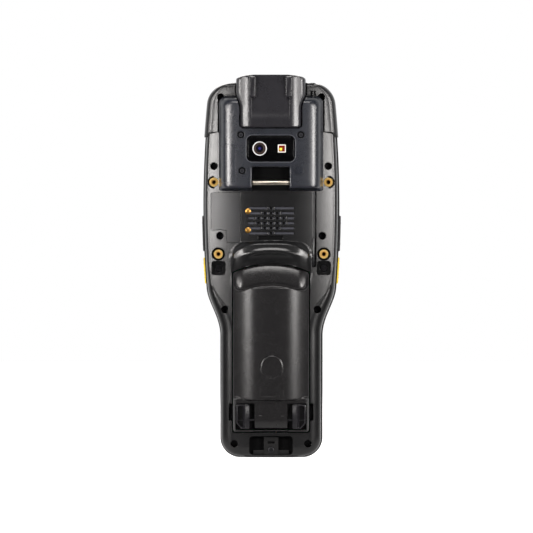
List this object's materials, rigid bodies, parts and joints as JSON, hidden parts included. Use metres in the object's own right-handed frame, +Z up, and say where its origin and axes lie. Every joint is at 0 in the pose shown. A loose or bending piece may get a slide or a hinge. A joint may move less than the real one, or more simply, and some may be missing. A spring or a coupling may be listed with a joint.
{
  "type": "portable barcode data terminal",
  "caption": "Handheld data terminal: wide head with display, camera and scanner hood, narrow grip with keypad, arched battery pack with sliding latches, stylus and strap bar.",
  "frame": {"origin": "middle of the bounding box at the bottom end, on which the terminal stands", "axes": "+Z runs up the length to the scanner hood, -Y is the display and keypad side, +Y is the battery side"},
  "size_m": [0.0794, 0.039, 0.218],
  "materials": {
    "front_plastic": "fine grain",
    "rear_plastic": "fine grain, satin",
    "bumper_plastic": "satin",
    "cover_plastic": "semi-gloss",
    "hood_plastic": "satin",
    "battery_plastic": "fine grain",
    "latch_plastic": "satin",
    "dark_plastic": "matt",
    "key_rubber": "matt",
    "side_rubber": "matt",
    "yellow_rubber": "satin",
    "seal_rubber": "matt",
    "black_glass": "gloss",
    "red_filter": "gloss",
    "screen": "gloss",
    "white_metal": "satin",
    "white_plastic": "gloss",
    "bar_steel": "brushed",
    "black_steel": "blackened",
    "engine_metal": "anodised",
    "tin": "plated",
    "cell_case": "plastic sleeve over cells",
    "board": "solder mask",
    "brass": "knurled, bright",
    "gold": "gold plated",
    "label_film": "semi-gloss film"
  },
  "bodies": {
    "terminal": {"front_housing": "front_plastic", "rear_housing": "rear_plastic", "top_bumper": "bumper_plastic", "module_cover": "cover_plastic", "scan_hood": "hood_plastic", "scan_window": "red_filter", "scan_engine": "engine_metal", "camera_window": "black_glass", "camera_module": "dark_plastic", "camera_ring": "white_metal", "flash_lamp": "white_plastic", "strap_bar": "bar_steel", "speaker": "dark_plastic", "trigger_contacts": "gold", "threaded_inserts": "brass", "case_screws": "black_steel", "cover_screws": "black_steel", "labels": "label_film", "bay_connector": "gold", "strap_anchor": "dark_plastic", "anchor_screw": "black_steel", "dock_connector": "dark_plastic", "touch_panel": "black_glass", "display_module": "screen", "main_board": "board", "shield_cans": "tin", "keypad_board": "board", "key_domes": "tin", "housing_seal": "seal_rubber", "side_switches": "tin", "earpiece": "dark_plastic"},
    "battery": {"battery_cover": "battery_plastic", "battery_case": "cell_case", "battery_contacts": "gold", "latch_pins": "bar_steel"},
    "latch_left_body": {"latch_left": "latch_plastic"},
    "latch_right_body": {"latch_right": "latch_plastic"},
    "stylus_body": {"stylus": "dark_plastic"},
    "scan_key_left_body": {"scan_key_left": "yellow_rubber"},
    "scan_key_right_body": {"scan_key_right": "yellow_rubber"},
    "rocker_left_body": {"rocker_left": "side_rubber"},
    "rocker_right_body": {"rocker_right": "side_rubber"},
    "key_dot_body": {"key_dot": "key_rubber"},
    "key_0_body": {"key_0": "key_rubber"},
    "key_back_body": {"key_back": "key_rubber"},
    "key_7_body": {"key_7": "key_rubber"},
    "key_8_body": {"key_8": "key_rubber"},
    "key_9_body": {"key_9": "key_rubber"},
    "key_4_body": {"key_4": "key_rubber"},
    "key_5_body": {"key_5": "key_rubber"},
    "key_6_body": {"key_6": "key_rubber"},
    "key_1_body": {"key_1": "key_rubber"},
    "key_2_body": {"key_2": "key_rubber"},
    "key_3_body": {"key_3": "key_rubber"},
    "key_function_body": {"key_function": "key_rubber"},
    "key_escape_body": {"key_escape": "key_rubber"},
    "key_enter_body": {"key_enter": "key_rubber"},
    "key_power_body": {"key_power": "key_rubber"},
    "key_scan_body": {"key_scan": "yellow_rubber"},
    "key_clear_body": {"key_clear": "key_rubber"}
  },
  "joints": [
    {"name": "battery_tilt", "type": "hinge", "parent": "terminal", "child": "battery", "pos_m": [0, 0.0038, 0.1115], "axis": [1, 0, 0], "range_deg": [0, 24]},
    {"name": "latch_left_slide", "type": "slide", "parent": "battery", "child": "latch_left_body", "axis": [-1, 0, 0], "range_m": [0, 0.0024], "stiffness_N_per_m": 500, "springref_m": -0.002},
    {"name": "latch_right_slide", "type": "slide", "parent": "battery", "child": "latch_right_body", "axis": [1, 0, 0], "range_m": [0, 0.0024], "stiffness_N_per_m": 500, "springref_m": -0.002},
    {"name": "stylus_slide", "type": "slide", "parent": "terminal", "child": "stylus_body", "axis": [0, 0, 1], "range_m": [0, 0.1]},
    {"name": "scan_key_left_press", "type": "slide", "parent": "terminal", "child": "scan_key_left_body", "axis": [-1, 0, 0], "range_m": [0, 0.0005], "stiffness_N_per_m": 1500, "springref_m": -0.0003},
    {"name": "scan_key_right_press", "type": "slide", "parent": "terminal", "child": "scan_key_right_body", "axis": [1, 0, 0], "range_m": [0, 0.0005], "stiffness_N_per_m": 1500, "springref_m": -0.0003},
    {"name": "rocker_left_tilt", "type": "hinge", "parent": "terminal", "child": "rocker_left_body", "pos_m": [0.03584, -0.0116, 0.1278], "axis": [0, 1, 0], "range_deg": [-1.2, 1.2], "stiffness_Nm_per_rad": 0.3},
    {"name": "rocker_right_tilt", "type": "hinge", "parent": "terminal", "child": "rocker_right_body", "pos_m": [-0.03584, -0.0116, 0.1278], "axis": [0, 1, 0], "range_deg": [-1.2, 1.2], "stiffness_Nm_per_rad": 0.3},
    {"name": "key_dot_press", "type": "slide", "parent": "terminal", "child": "key_dot_body", "axis": [0, 1, 0], "range_m": [0, 0.0004], "stiffness_N_per_m": 1500, "springref_m": -0.0003},
    {"name": "key_0_press", "type": "slide", "parent": "terminal", "child": "key_0_body", "axis": [0, 1, 0], "range_m": [0, 0.0004], "stiffness_N_per_m": 1500, "springref_m": -0.0003},
    {"name": "key_back_press", "type": "slide", "parent": "terminal", "child": "key_back_body", "axis": [0, 1, 0], "range_m": [0, 0.0004], "stiffness_N_per_m": 1500, "springref_m": -0.0003},
    {"name": "key_7_press", "type": "slide", "parent": "terminal", "child": "key_7_body", "axis": [0, 1, 0], "range_m": [0, 0.0004], "stiffness_N_per_m": 1500, "springref_m": -0.0003},
    {"name": "key_8_press", "type": "slide", "parent": "terminal", "child": "key_8_body", "axis": [0, 1, 0], "range_m": [0, 0.0004], "stiffness_N_per_m": 1500, "springref_m": -0.0003},
    {"name": "key_9_press", "type": "slide", "parent": "terminal", "child": "key_9_body", "axis": [0, 1, 0], "range_m": [0, 0.0004], "stiffness_N_per_m": 1500, "springref_m": -0.0003},
    {"name": "key_4_press", "type": "slide", "parent": "terminal", "child": "key_4_body", "axis": [0, 1, 0], "range_m": [0, 0.0004], "stiffness_N_per_m": 1500, "springref_m": -0.0003},
    {"name": "key_5_press", "type": "slide", "parent": "terminal", "child": "key_5_body", "axis": [0, 1, 0], "range_m": [0, 0.0004], "stiffness_N_per_m": 1500, "springref_m": -0.0003},
    {"name": "key_6_press", "type": "slide", "parent": "terminal", "child": "key_6_body", "axis": [0, 1, 0], "range_m": [0, 0.0004], "stiffness_N_per_m": 1500, "springref_m": -0.0003},
    {"name": "key_1_press", "type": "slide", "parent": "terminal", "child": "key_1_body", "axis": [0, 1, 0], "range_m": [0, 0.0004], "stiffness_N_per_m": 1500, "springref_m": -0.0003},
    {"name": "key_2_press", "type": "slide", "parent": "terminal", "child": "key_2_body", "axis": [0, 1, 0], "range_m": [0, 0.0004], "stiffness_N_per_m": 1500, "springref_m": -0.0003},
    {"name": "key_3_press", "type": "slide", "parent": "terminal", "child": "key_3_body", "axis": [0, 1, 0], "range_m": [0, 0.0004], "stiffness_N_per_m": 1500, "springref_m": -0.0003},
    {"name": "key_function_press", "type": "slide", "parent": "terminal", "child": "key_function_body", "axis": [0, 1, 0], "range_m": [0, 0.0004], "stiffness_N_per_m": 1500, "springref_m": -0.0003},
    {"name": "key_escape_press", "type": "slide", "parent": "terminal", "child": "key_escape_body", "axis": [0, 1, 0], "range_m": [0, 0.0004], "stiffness_N_per_m": 1500, "springref_m": -0.0003},
    {"name": "key_enter_press", "type": "slide", "parent": "terminal", "child": "key_enter_body", "axis": [0, 1, 0], "range_m": [0, 0.0004], "stiffness_N_per_m": 1500, "springref_m": -0.0003},
    {"name": "key_power_press", "type": "slide", "parent": "terminal", "child": "key_power_body", "axis": [0, 1, 0], "range_m": [0, 0.0004], "stiffness_N_per_m": 1500, "springref_m": -0.0003},
    {"name": "key_scan_press", "type": "slide", "parent": "terminal", "child": "key_scan_body", "axis": [0, 1, 0], "range_m": [0, 0.0004], "stiffness_N_per_m": 1500, "springref_m": -0.0003},
    {"name": "key_clear_press", "type": "slide", "parent": "terminal", "child": "key_clear_body", "axis": [0, 1, 0], "range_m": [0, 0.0004], "stiffness_N_per_m": 1500, "springref_m": -0.0003}
  ]
}
